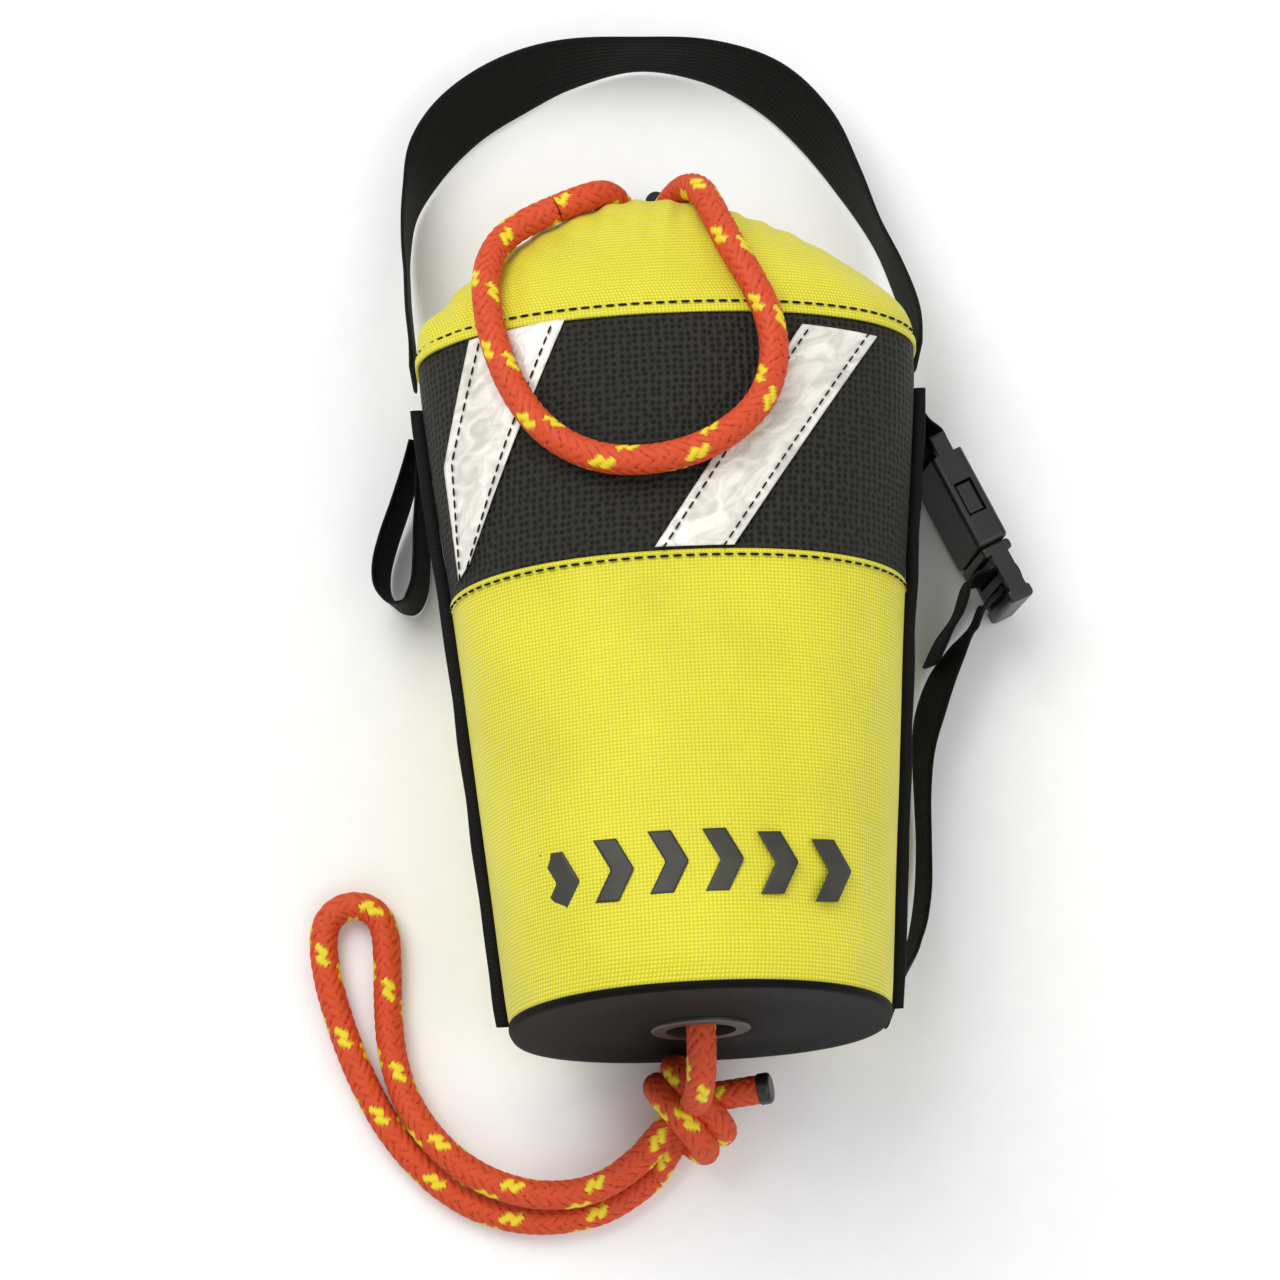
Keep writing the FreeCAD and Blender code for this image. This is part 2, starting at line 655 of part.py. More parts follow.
# the adjusting strap runs from the base seam through both slots of the male half
slot_a_middle = slot_a + slot_width / 2
slot_b_middle = slot_b + slot_width / 2
over = 3.0 + webbing_thickness / 2 + 0.5
save("adjusting_strap", ribbon([
    off_side(1.1, -122.5, 28.5, 0.0, 0.0),
    off_side(2.8, -116.0, 24.0, 0.0, 0.0),
    off_side(6.5, -107.0, 15.5, 0.05, 0.0),
    off_side(9.8, -96.0, 8.0, 0.1, 0.0),
    off_side(11.5, -83.0, 2.7, 0.12, 0.0),
    off_side(11.4, -68.0, 1.1, 0.1, 0.0),
    off_side(10.5, -53.0, 1.0, 0.12, 0.0),
    off_side(10.3, -39.0, 0.9, 0.2, 0.0),
    off_side(11.8, -26.0, 0.5, 0.32, -0.1),
    off_side(15.2, -14.0, 0.7, 0.3, -0.15),
    off_side(20.1, -4.5, 1.7, 0.2, -0.1),
    off_side(24.9, 3.0, 3.5, lean_x, lean_y),
    on_buckle(slot_b_middle + 1.2, 9.0),
    on_buckle(slot_b_middle + 0.2, 4.0),
    on_buckle(slot_b_middle, 0.0),
    on_buckle(slot_b_middle - 0.6, -over + 0.8),
    on_buckle(slot_b_middle - 2.2, -over),
    on_buckle(slot_a_middle + 2.2, -over),
    on_buckle(slot_a_middle + 0.6, -over + 0.8),
    on_buckle(slot_a_middle, 0.0),
    on_buckle(slot_a_middle - 0.2, 4.0),
    on_buckle(slot_a_middle - 1.0, 9.0),
    off_side(19.6, 8.0, 3.0, lean_x, lean_y),
    off_side(15.2, 0.0, 1.5, 0.15, 0.0),
    off_side(11.5, -8.5, 1.1, 0.15, 0.0),
]))

print("buckle axis", buckle_way, "across", upward, "through", through)
print("prong pivots", place((prong_stop, prong_inside + prong_thickness / 2, 0)),
      place((prong_stop, -prong_inside - prong_thickness / 2, 0)))
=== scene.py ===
"""Throw rope bag: the cloth, ropes, webbing and finishes, on the CAD frame."""
import math

import bmesh
import bpy
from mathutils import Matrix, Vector, noise


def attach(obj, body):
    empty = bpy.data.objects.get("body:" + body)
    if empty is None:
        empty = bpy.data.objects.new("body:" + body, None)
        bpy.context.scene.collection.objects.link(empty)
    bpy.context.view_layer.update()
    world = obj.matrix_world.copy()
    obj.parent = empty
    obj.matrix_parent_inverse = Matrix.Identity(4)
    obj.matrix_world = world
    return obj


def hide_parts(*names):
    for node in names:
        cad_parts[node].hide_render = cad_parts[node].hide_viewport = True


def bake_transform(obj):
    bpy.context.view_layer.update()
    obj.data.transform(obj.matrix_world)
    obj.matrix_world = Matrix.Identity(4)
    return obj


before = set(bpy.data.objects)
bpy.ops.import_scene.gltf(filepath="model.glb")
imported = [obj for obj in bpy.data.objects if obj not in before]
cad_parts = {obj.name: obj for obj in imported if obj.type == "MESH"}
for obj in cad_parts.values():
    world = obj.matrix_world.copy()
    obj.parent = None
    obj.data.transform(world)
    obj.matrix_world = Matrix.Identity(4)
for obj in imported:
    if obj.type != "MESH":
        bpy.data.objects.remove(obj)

bl_info = {
    "name": "Throw Rope Bag",
    "version": (1, 0, 0),
    "blender": (4, 2, 0),
    "location": "View3D > Sidebar > Throw Bag",
    "description": "Builds a stuffed throw bag with its ropes, webbing and fittings",
    "category": "Add Mesh",
}

MM = 0.001
LEAN = 0.14          # cross-sections lean with height
SEAM = 0.49          # the side seams' share of the height
STRAP_SEAT = 13.0

# station, width, height, lift, shift, in mm from the base to the gathered mouth
ROWS = [
    (-135.0, 118.5, 119.0, 0.0, 0.0),
    (-123.0, 121.5, 120.0, 0.0, 0.0),
    (-67.5, 132.42, 109.08, 0.0, 0.0),
    (5.0, 147.0, 94.0, 0.0, 0.0),
    (46.0, 156.52, 87.7, 0.0, 0.0),
    (87.0, 164.0, 80.0, 0.0, 0.0),
    (98.88, 159.92, 75.68, 0.0, 0.0),
    (110.22, 138.16, 69.2, 2.16, -0.72),
    (121.02, 112.32, 60.56, 5.04, -1.68),
    (130.2, 83.76, 49.76, 9.0, -3.0),
    (136.68, 55.2, 38.42, 13.5, -4.5),
    (141.0, 28.0, 26.0, 18.0, -6.0),
]


def linear(hex_colour):
    """An sRGB hex colour as linear red, green, blue."""
    parts = [int(hex_colour[i:i + 2], 16) / 255 for i in (1, 3, 5)]
    return tuple(p / 12.92 if p <= 0.04045 else ((p + 0.055) / 1.055) ** 2.4 for p in parts)


def band_scale(pitch_mm):
    """Scale of a Wave texture whose bands repeat at this pitch."""
    return 2 * math.pi / (20 * pitch_mm * MM)


# ---- settings --------------------------------------------------------------------------

def colour(name, hex_colour, text):
    return bpy.props.FloatVectorProperty(
        name=name, description=text, subtype="COLOR", size=3, min=0, max=1, default=linear(hex_colour))


def length(name, mm, text):
    return bpy.props.FloatProperty(
        name=name, description=text, default=mm * MM, min=0.0001, unit="LENGTH", precision=4)


class ThrowBagSizes(bpy.types.PropertyGroup):
    cloth: length("Cloth", 1.4, "Thickness of the nylon wall")
    rope: length("Rope", 9.5, "Diameter of the floating rope")
    braid_lay: length("Braid Lay", 28.0, "Length in which a strand goes once round the rope")
    webbing: length("Webbing", 25.0, "Width of the flat webbing")
    webbing_thick: length("Webbing Thickness", 1.5, "Thickness of the flat webbing")
    stitch: length("Stitch", 3.0, "Length of one stitch")
    wrinkle: length("Wrinkle", 1.1, "Depth of the soft folds in the stuffed cloth")


class ThrowBagColours(bpy.types.PropertyGroup):
    nylon: colour("Nylon", "#efe62a", "Yellow pack cloth")
    mesh: colour("Mesh", "#15140e", "Knotted mesh band")
    coated: colour("Coated Cloth", "#0b0a07", "Base disc")
    webbing: colour("Webbing", "#060605", "Straps and bindings")
    rope: colour("Rope", "#cf4a22", "Orange carriers")
    fleck: colour("Fleck", "#e6cf2a", "Yellow tracer carriers")
    tape: colour("Tape", "#e9e6da", "Reflective vinyl")
    plastic: colour("Plastic", "#131311", "Buckle and cord lock")
    metal: colour("Metal", "#3a3a36", "Blackened brass grommet")


# ---- materials -------------------------------------------------------------------------

def add(tree, kind, values=None, links=None, **settings):
    """Add a node with its settings, its input values and its links."""
    made = tree.nodes.new(kind)
    for key, value in settings.items():
        setattr(made, key, value)
    for key, value in (values or {}).items():
        made.inputs[key].default_value = value
    for key, socket in (links or {}).items():
        tree.links.new(socket, made.inputs[key])
    return made


def blank(name, base, rough, **sockets):
    """A material with its constant values on the shader itself."""
    made = bpy.data.materials.get(name)
    if made:
        return made, None, None
    made = bpy.data.materials.new(name)
    made.use_nodes = True
    tree = made.node_tree
    shader = tree.nodes["Principled BSDF"]
    shader.inputs["Base Color"].default_value = (*base, 1)
    shader.inputs["Roughness"].default_value = rough
    for key, value in sockets.items():
        shader.inputs[key.replace("_", " ")].default_value = value
    return made, tree, shader


def tone(base, share):
    return (*[min(1.0, c * share) for c in base], 1)


def ramped(tree, socket, low, high, low_colour, high_colour):
    made = add(tree, "ShaderNodeValToRGB", links={0: socket})
    made.color_ramp.elements[0].position = low
    made.color_ramp.elements[1].position = high
    made.color_ramp.elements[0].color = low_colour
    made.color_ramp.elements[1].color = high_colour
    return made.outputs[0]


def bumped(tree, shader, height, strength, depth_mm):
    made = add(tree, "ShaderNodeBump", {"Strength": strength, "Distance": depth_mm * MM}, {"Height": height})
    tree.links.new(made.outputs[0], shader.inputs["Normal"])


def woven(name, base, rough, pitch_u, pitch_v, depth_mm, **sockets):
    """Threads both ways on a piece's own map, with painted shade between the threads and random slub, a slow change
    of tone, and a soft nap.
    """
    made, tree, shader = blank(name, base, rough, **sockets)
    if tree is None:
        return made
    place = add(tree, "ShaderNodeUVMap", uv_map="cloth").outputs[0]
    warp = add(tree, "ShaderNodeTexWave", {"Scale": band_scale(pitch_u)}, {"Vector": place},
               bands_direction="X").outputs[1]
    weft = add(tree, "ShaderNodeTexWave", {"Scale": band_scale(pitch_v)}, {"Vector": place},
               bands_direction="Y").outputs[1]
    threads = add(tree, "ShaderNodeMath", links={0: warp, 1: weft}, operation="MULTIPLY").outputs[0]
    slub = add(tree, "ShaderNodeTexNoise", {"Scale": 900.0, "Detail": 3.0}, {"Vector": place}).outputs[0]
    slow = add(tree, "ShaderNodeTexNoise", {"Scale": 22.0, "Detail": 4.0}, {"Vector": place}).outputs[0]
    both = add(tree, "ShaderNodeMath", {1: 0.35}, {0: slub, 2: threads}, operation="MULTIPLY_ADD").outputs[0]
    # painted shade: the weave's bump height also sets the cloth's tone, darker in the gaps between threads; the slub
    # mixed in is random tone
    fine = ramped(tree, both, 0.15, 0.75, tone(base, 0.66), tone(base, 1.04))
    broad = ramped(tree, slow, 0.35, 0.65, (0.90, 0.90, 0.86, 1), (1, 1, 1, 1))
    mixed = add(tree, "ShaderNodeMix", {"Factor": 1.0}, {6: fine, 7: broad},
                data_type="RGBA", blend_type="MULTIPLY").outputs[2]
    tree.links.new(mixed, shader.inputs["Base Color"])
    bumped(tree, shader, both, 0.55, depth_mm)
    return made


def pack_nylon():
    # plain-woven nylon with a coating inside: a fine even grain with a dull sheen
    c = bpy.context.scene.throw_bag_colours
    return woven("woven_pack_nylon", c.nylon, 0.62, 1.2, 1.2, 0.32, Sheen_Weight=0.15, Sheen_Roughness=0.5)


def nylon_webbing():
    # shuttle-woven webbing: cross ribs with a warp of fine cords, nearly matt
    c = bpy.context.scene.throw_bag_colours
    return woven("woven_nylon_webbing", c.webbing, 0.74, 2.1, 1.5, 0.4, Specular_IOR_Level=0.22)


def coated_cloth():
    # coated pack cloth: smooth and slightly leathery, with only a hint of its weave
    c = bpy.context.scene.throw_bag_colours
    return woven("coated_pack_cloth", c.coated, 0.62, 0.9, 0.9, 0.08, Specular_IOR_Level=0.1)


def knotted_mesh():
    # open warp-knit mesh: fat knobbly cords round holes painted near black, a painted shade of the bag's inside seen
    # through them
    c = bpy.context.scene.throw_bag_colours
    made, tree, shader = blank("knitted_polyester_mesh", c.mesh, 0.66, Specular_IOR_Level=0.25)
    if tree is None:
        return made
    place = add(tree, "ShaderNodeUVMap", uv_map="cloth").outputs[0]
    cells = add(tree, "ShaderNodeTexVoronoi", {"Scale": 1 / (2.4 * MM), "Randomness": 0.35}, {"Vector": place},
                voronoi_dimensions="2D").outputs[0]
    fuzz = add(tree, "ShaderNodeTexNoise", {"Scale": 1400.0, "Detail": 3.0}, {"Vector": place}).outputs[0]
    cords = add(tree, "ShaderNodeMath", {1: 0.25}, {0: fuzz, 2: cells}, operation="MULTIPLY_ADD").outputs[0]
    # painted shade: the hole centres fall to near black for the shaded inside of the bag, and the cords round them
    # keep the mesh's own tone
    shade = ramped(tree, cords, 0.30, 0.62, tone(c.mesh, 0.08), tone(c.mesh, 3.0))
    tree.links.new(shade, shader.inputs["Base Color"])
    bumped(tree, shader, cords, 0.9, 1.1)
    return made


def braided_rope():
    # braided polypropylene: waxy filaments, with painted shade darkening the grooves between strands, and yellow
    # tracers
    c = bpy.context.scene.throw_bag_colours
    made, tree, shader = blank("braided_polypropylene", c.rope, 0.58, Specular_IOR_Level=0.3)
    if tree is None:
        return made
    paint = add(tree, "ShaderNodeAttribute", attribute_name="braid").outputs["Color"]
    split = add(tree, "ShaderNodeSeparateColor", links={0: paint})
    yarn = add(tree, "ShaderNodeMix", links={0: split.outputs[0]}, data_type="RGBA")
    yarn.inputs[6].default_value = (*c.rope, 1)
    yarn.inputs[7].default_value = (*c.fleck, 1)
    # painted shade: the braid's second channel, the strand crown, darkens the rope towards the grooves between
    # strands
    groove_painted_shade = ramped(tree, split.outputs[1], 0.0, 0.75, (0.28, 0.20, 0.18, 1), (1, 1, 1, 1))
    mixed = add(tree, "ShaderNodeMix", {"Factor": 1.0}, {6: yarn.outputs[2], 7: groove_painted_shade},
                data_type="RGBA", blend_type="MULTIPLY").outputs[2]
    tree.links.new(mixed, shader.inputs["Base Color"])
    where = add(tree, "ShaderNodeTexCoord").outputs["Object"]
    fibre = add(tree, "ShaderNodeTexNoise", {"Scale": 2200.0, "Detail": 2.0}, {"Vector": where}).outputs[0]
    bumped(tree, shader, fibre, 0.35, 0.15)
    return made


def grained(name, base, rough, grain_mm, strength, worn, **sockets):
    """A hard or foamed surface: a fine grain, and patches that are rubbed lighter."""
    made, tree, shader = blank(name, base, rough, **sockets)
    if tree is None:
        return made
    where = add(tree, "ShaderNodeTexCoord").outputs["Object"]
    grain = add(tree, "ShaderNodeTexNoise", {"Scale": 1 / (grain_mm * MM), "Detail": 4.0},
                {"Vector": where}).outputs[0]
    patch = add(tree, "ShaderNodeTexNoise", {"Scale": 90.0, "Detail": 3.0}, {"Vector": where}).outputs[0]
    shade = ramped(tree, patch, 0.38, 0.68, (*base, 1), tone(base, worn))
    tree.links.new(shade, shader.inputs["Base Color"])
    bumped(tree, shader, grain, strength, 0.12)
    return made


def moulded_plastic():
    # injection-moulded acetal: a fine spark-eroded grain with a soft highlight
    return grained("moulded_acetal", bpy.context.scene.throw_bag_colours.plastic, 0.36, 0.7, 0.25, 1.7)


def black_brass():
    # chemically blackened brass: dark and glossy, greyer where it is rubbed
    return grained("blackened_brass", bpy.context.scene.throw_bag_colours.metal, 0.28, 1.2, 0.12, 2.2, Metallic=1.0)


def vinyl_tape():
    # prismatic reflective vinyl: a clear glossy face over a fine cell pattern, creased by use, with painted shade in
    # the crease hollows and painted highlight on the ridges
    c = bpy.context.scene.throw_bag_colours
    made, tree, shader = blank("prismatic_vinyl", c.tape, 0.26, Coat_Weight=0.6, Coat_Roughness=0.12)
    if tree is None:
        return made
    place = add(tree, "ShaderNodeUVMap", uv_map="cloth").outputs[0]
    cell = add(tree, "ShaderNodeTexVoronoi", {"Scale": 1 / (1.8 * MM), "Randomness": 0.0}, {"Vector": place},
               voronoi_dimensions="2D").outputs[0]
    crease = add(tree, "ShaderNodeTexNoise", {"Scale": 120.0, "Detail": 6.0, "Distortion": 1.5},
                 {"Vector": place}).outputs[0]
    # painted shade and highlight: the crease height also sets the tape's tone, darker in the hollows and a little
    # lighter on the ridges
    shade = ramped(tree, crease, 0.36, 0.62, tone(c.tape, 0.74), tone(c.tape, 1.06))
    tree.links.new(shade, shader.inputs["Base Color"])
    both = add(tree, "ShaderNodeMath", {1: 0.12}, {0: cell, 2: crease}, operation="MULTIPLY_ADD").outputs[0]
    bumped(tree, shader, both, 0.6, 1.2)
    return made


# ---- shaping ---------------------------------------------------------------------------

def size_at(station):
    """Width, height, lift and shift at a station, on a smooth line through the rows."""
    last = len(ROWS) - 1
    i = 0
    while i < last - 1 and station > ROWS[i + 1][0]:
        i += 1
    t = min(1.0, max(0.0, (station - ROWS[i][0]) / (ROWS[i + 1][0] - ROWS[i][0])))
    values = []
    for k in (1, 2, 3, 4):
        slopes = []
        for j in (i, i + 1):
            a, b = max(j - 1, 0), min(j + 1, last)
            slopes.append((ROWS[b][k] - ROWS[a][k]) / (ROWS[b][0] - ROWS[a][0]))
        run = ROWS[i + 1][0] - ROWS[i][0]
        h = t * t * (3 - 2 * t)
        value = ROWS[i][k] * (1 - h) + ROWS[i + 1][k] * h
        value += run * (slopes[0] * t * (1 - t) ** 2 - slopes[1] * t * t * (1 - t))
        values.append(value)
    return values


def bag_point(station, turn, grow=0.0, share=1.0):
    """A point of the bag, in mm, by its station and its turn from the right seam over the front."""
    width, height, lift, shift = size_at(station)
    c, s = math.cos(turn), math.sin(turn)
    middle = SEAM * height
    power = 2 / 2.15 if s >= 0 else 2 / 2.5
    reach = height - middle if s >= 0 else middle
    x = shift + share * math.copysign(abs(c) ** power, c) * (width / 2 + grow)
    z = lift + middle + share * math.copysign(abs(s) ** power, s) * (reach + grow)
    z = max(z, 0.2 if grow >= 0 else 0.2 - grow)
    return Vector((x, station + LEAN * z, z))


def on_front(x, y, grow):
    """The point of the bag's front above a place in plan, in mm."""
    z = 80.0
    for _ in range(8):
        width, height, lift, shift = size_at(y - LEAN * z)
        c = min(0.995, abs(x - shift) / (width / 2 + grow)) ** (2.15 / 2)
        z = lift + SEAM * height + (1 - c * c) ** (1 / 2.15) * ((1 - SEAM) * height + grow)
    return Vector((x, y, z))


def folds(p, seed, amount):
    """Soft folds of stuffed cloth at a point in mm."""
    broad = noise.noise(Vector((p.x * 0.030, p.y * 0.018, p.z * 0.030 + seed)))
    small = noise.noise(Vector((p.x * 0.085, p.y * 0.050, p.z * 0.085 + seed * 3)))
    return amount * (broad + 0.45 * small)


def build(name, verts, faces, uvs=None, material=None, body="bag", nodes=(), paint=None):
    """A piece from points in mm, with its map, finish and body."""
    mesh = bpy.data.meshes.new(name)
    mesh.from_pydata([tuple(v * MM for v in p) for p in verts], [], faces)
    mesh.validate()
    if uvs:
        layer = mesh.uv_layers.new(name="cloth")
        for loop in mesh.loops:
            layer.data[loop.index].uv = (uvs[loop.vertex_index][0] * MM, uvs[loop.vertex_index][1] * MM)
    if paint:
        layer = mesh.color_attributes.new("braid", "FLOAT_COLOR", "POINT")
        for i, value in enumerate(paint):
            layer.data[i].color = (*value, 0, 1)
    mesh.polygons.foreach_set("use_smooth", [True] * len(mesh.polygons))
    piece = bpy.data.objects.new(name, mesh)
    bpy.context.scene.collection.objects.link(piece)
    if material:
        mesh.materials.append(material)
    if isinstance(body, str):
        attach(piece, body)
    else:
        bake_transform(piece)
    if nodes:
        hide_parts(*nodes)
    return piece


def thicken(piece, thickness, offset=-1.0):
    """Give a cloth its wall with an applied modifier."""
    bpy.ops.object.select_all(action="DESELECT")
    piece.select_set(True)
    bpy.context.view_layer.objects.active = piece
    wall = piece.modifiers.new("wall", "SOLIDIFY")
    wall.thickness = thickness
    wall.offset = offset
    bpy.ops.object.modifier_apply(modifier=wall.name)


def clean(piece):
    """Close seams and poles and point every face outwards."""
    work = bmesh.new()
    work.from_mesh(piece.data)
    bmesh.ops.remove_doubles(work, verts=work.verts, dist=0.00001)
    bmesh.ops.recalc_face_normals(work, faces=work.faces)
    work.to_mesh(piece.data)
    work.free()


def grid_faces(rows, columns, closed=False):
    faces = []
    for i in range(rows - 1):
        for j in range(columns if closed else columns - 1):
            k = (j + 1) % columns
            faces.append((i * columns + j, (i + 1) * columns + j, (i + 1) * columns + k, i * columns + k))
    return faces


def cloth_panel(name, start, stop, front, shape, material, rows=110, columns=190):
    """One half of a ring of cloth between two seams."""
    verts, uvs = [], []
    turn_start = 0.0 if front else math.pi
    for i in range(rows):
        station = start + (stop - start) * i / (rows - 1)
        around = 0.0
        before = None
        for j in range(columns):
            turn = turn_start + math.pi * j / (columns - 1)
            flat = bag_point(station, turn)
            around += (flat - before).length if before else 0.0
            before = flat
            edge = min(j, columns - 1 - j) / (columns - 1)
            verts.append(bag_point(station, turn, shape(flat, station, edge)))
            uvs.append((around, station))
    piece = build(name + "_cloth", verts, grid_faces(rows, columns), uvs, material, nodes=(name,))
    thicken(piece, bpy.context.scene.throw_bag_sizes.cloth)
    return piece


def annulus(name, profile, columns, material, inset=0.0):
    """A disc or plug whose profile is (station, share of the section, extra growth)."""
    verts, uvs = [], []
    for station, share, grow in profile:
        for j in range(columns):
            turn = 2 * math.pi * j / columns
            p = bag_point(station, turn, grow - inset, share)
            verts.append(p)
            uvs.append((p.x, p.z))
    faces = grid_faces(len(profile), columns, closed=True)
    piece = build(name + "_fill", verts, faces, uvs, material, nodes=(name,))
    clean(piece)
    return piece


def strip(name, left, right, grow, material, nodes=(), rows=90, columns=28, crinkle=0.0):
    """A flat band laid on the bag's front between two edges given in plan, in mm."""
    def along(line, t):
        t *= len(line) - 1
        i = min(int(t), len(line) - 2)
        return Vector(line[i]).lerp(Vector(line[i + 1]), t - i)
    verts, uvs = [], []
    for i in range(rows):
        a, b = along(left, i / (rows - 1)), along(right, i / (rows - 1))
        for j in range(columns):
            p = b.lerp(a, j / (columns - 1))
            wave = crinkle * noise.noise(Vector((p.x * 0.16, p.y * 0.16, 4.0)))
            verts.append(on_front(p.x, p.y, grow + abs(wave)))
            uvs.append(((a - b).length * j / (columns - 1), p.y))
    piece = build(name, verts, grid_faces(rows, columns), uvs, material, nodes=nodes)
    thicken(piece, 0.35 * MM)
    return piece


def stitches(name, lines, wide=0.8):
    """Rows of short raised stitches, each line given as points in mm."""
    long = bpy.context.scene.throw_bag_sizes.stitch / MM
    verts, faces = [], []
    for line in lines:
        travel, want = 0.0, 0.0
        for a, b in zip(line, line[1:]):
            step = (b - a).length
            while want < travel + step and step > 0:
                middle = a.lerp(b, (want - travel) / step)
                along = (b - a).normalized()
                up = Vector((0, 0, 1)) - along * along.z
                up = up.normalized() if up.length > 0.1 else Vector((1, 0, 0))
                side = along.cross(up).normalized()
                first = len(verts)
                for share, size in ((-0.5, 0.25), (-0.3, 1.0), (0.3, 1.0), (0.5, 0.25)):
                    for k in range(6):
                        turn = math.pi * k / 3
                        verts.append(middle + along * long * share + side * math.cos(turn) * wide / 2 * size
                                     + up * math.sin(turn) * 0.45 * size)
                for ring in range(3):
                    for k in range(6):
                        m = (k + 1) % 6
                        base = first + ring * 6
                        faces.append((base + k, base + m, base + 6 + m, base + 6 + k))
                faces.append(tuple(first + k for k in range(5, -1, -1)))
                faces.append(tuple(first + 18 + k for k in range(6)))
                want += long + 1.0
            travel += step
    piece = build(name, verts, faces, [(v.x, v.y) for v in verts], nylon_webbing())
    clean(piece)
    return piece


def centreline(name, route):
    """Evenly spaced points read from the smooth spline of a route, in mm."""
    curve = bpy.data.curves.new(name, "CURVE")
    curve.dimensions = "3D"
    curve.resolution_u = 24
    spline = curve.splines.new("NURBS")
    spline.points.add(len(route) - 1)
    for point, place in zip(spline.points, route):
        point.co = (*[v * MM for v in place], 1)
    spline.order_u = 3
    spline.use_endpoint_u = True
    holder = bpy.data.objects.new(name, curve)
    bpy.context.scene.collection.objects.link(holder)
    bpy.context.view_layer.update()
    read = bpy.data.meshes.new_from_object(holder)
    points = [v.co / MM for v in read.vertices]
    bpy.data.objects.remove(holder)
    bpy.data.meshes.remove(read)
    return points


def even(points, step):
    """The same line at an even step."""
    places, travel = [points[0].copy()], 0.0
    for a, b in zip(points, points[1:]):
        run = (b - a).length
        while run > 1e-9 and travel + run >= step:
            a = a.lerp(b, (step - travel) / run)
            run = (b - a).length
            travel = 0.0
            places.append(a.copy())
        travel += run
    places.append(points[-1].copy())
    return places


def braided(name, routes, body, nodes, round_count=44, step=0.8):
    """Braided rope along one or more routes: sixteen strands, two over two."""
    sizes = bpy.context.scene.throw_bag_sizes
    half = sizes.rope / MM / 2
    lay = sizes.braid_lay / MM
    verts, faces, paint = [], [], []
    path = None
    for route in routes:
        path = centreline(name + "_line", route)
        line = even(path, step)
        side = None
        first = len(verts)
        for i, here in enumerate(line):
            ahead = (line[min(i + 1, len(line) - 1)] - line[max(i - 1, 0)]).normalized()
            if side is None:
                side = ahead.orthogonal().normalized()
            side = (side - ahead * side.dot(ahead)).normalized()
            other = ahead.cross(side)
            s = i * step / lay
            for j in range(round_count):
                turn = j / round_count
                a, b = 8 * (turn + s), 8 * (turn - s)
                over = (math.floor(a) + math.floor(b)) % 4 < 2
                spot = (a if over else b) % 1.0
                crown = math.sqrt(max(0.0, 1 - (2 * spot - 1) ** 2))
                radius = half - 0.85 + 0.85 * crown
                angle = 2 * math.pi * turn
                verts.append(here + side * math.cos(angle) * radius + other * math.sin(angle) * radius)
                # the second channel, the crown, is later used by the rope finish to paint shade into the grooves
                # between strands
                paint.append((1.0 if over and math.floor(a) % 8 in (0, 1) else 0.0, crown))
        count = len(line)
        for i in range(count - 1):
            for j in range(round_count):
                k = (j + 1) % round_count
                base = first + i * round_count
                faces.append((base + j, base + k, base + round_count + k, base + round_count + j))
        faces.append(tuple(first + j for j in range(round_count - 1, -1, -1)))
        faces.append(tuple(first + (count - 1) * round_count + j for j in range(round_count)))
    piece = build(name, verts, faces, None, braided_rope(), body, nodes, paint)
    return piece, [p * MM for p in path]


def smooth_rows(rows, parts=8):
    """Stations of a strap with smooth ones between them."""
    made = []
    for i in range(len(rows) - 1):
        a, b, c, d = (rows[max(i - 1, 0)], rows[i], rows[i + 1], rows[min(i + 2, len(rows) - 1)])
        for k in range(parts):
            t = k / parts
            made.append([0.5 * (2 * q + (r - p) * t + (2 * p - 5 * q + 4 * r - s) * t * t
                                + (3 * q - p - 3 * r + s) * t ** 3) for p, q, r, s in zip(a, b, c, d)])
    made.append(list(rows[-1]))
    return made


def strap(name, rows, body, sewn=()):
    """Flat webbing on edge through stations: x, y, height off the table, lean x, lean y, in mm."""
    sizes = bpy.context.scene.throw_bag_sizes
    width, thick = sizes.webbing / MM, sizes.webbing_thick / MM
    fine = smooth_rows(rows)
    spots = [Vector((r[0], r[1], r[2] + width / 2)) for r in fine]
    across = 17
    verts, uvs, travel = [], [], 0.0
    for i, row in enumerate(fine):
        if i:
            travel += (spots[i] - spots[i - 1]).length
        ahead = (spots[min(i + 1, len(spots) - 1)] - spots[max(i - 1, 0)]).normalized()
        up = Vector((row[3], row[4], 1.0))
        up = (up - ahead * up.dot(ahead)).normalized()
        out = ahead.cross(up).normalized()
        for face in (1, -1):
            for j in range(across):
                u = j / (across - 1) if face > 0 else 1 - j / (across - 1)
                edge = min(1.0, min(u, 1 - u) * 12)
                verts.append(spots[i] + up * width * (u - 0.5) + out * face * thick / 2 * (0.35 + 0.65 * edge))
                uvs.append((u * width, travel))
    ring = across * 2
    faces = []
    for i in range(len(fine) - 1):
        for j in range(ring):
            k = (j + 1) % ring
            faces.append((i * ring + j, (i + 1) * ring + j, (i + 1) * ring + k, i * ring + k))
    faces.append(tuple(range(ring)))
    faces.append(tuple((len(fine) - 1) * ring + j for j in range(ring - 1, -1, -1)))
    piece = build(name + "_webbing", verts, faces, uvs, nylon_webbing(), body, (name,))
    clean(piece)
    return piece


# ---- operators -------------------------------------------------------------------------

def dressed(node, material):
    """Put a finish on a CAD piece that keeps its own shape."""
    piece = bpy.data.objects.get(node)
    if piece is None:
        raise RuntimeError("the frame has no piece called " + node)
    if not piece.material_slots:
        piece.data.materials.append(material)
    for place in piece.material_slots:
        place.material = material


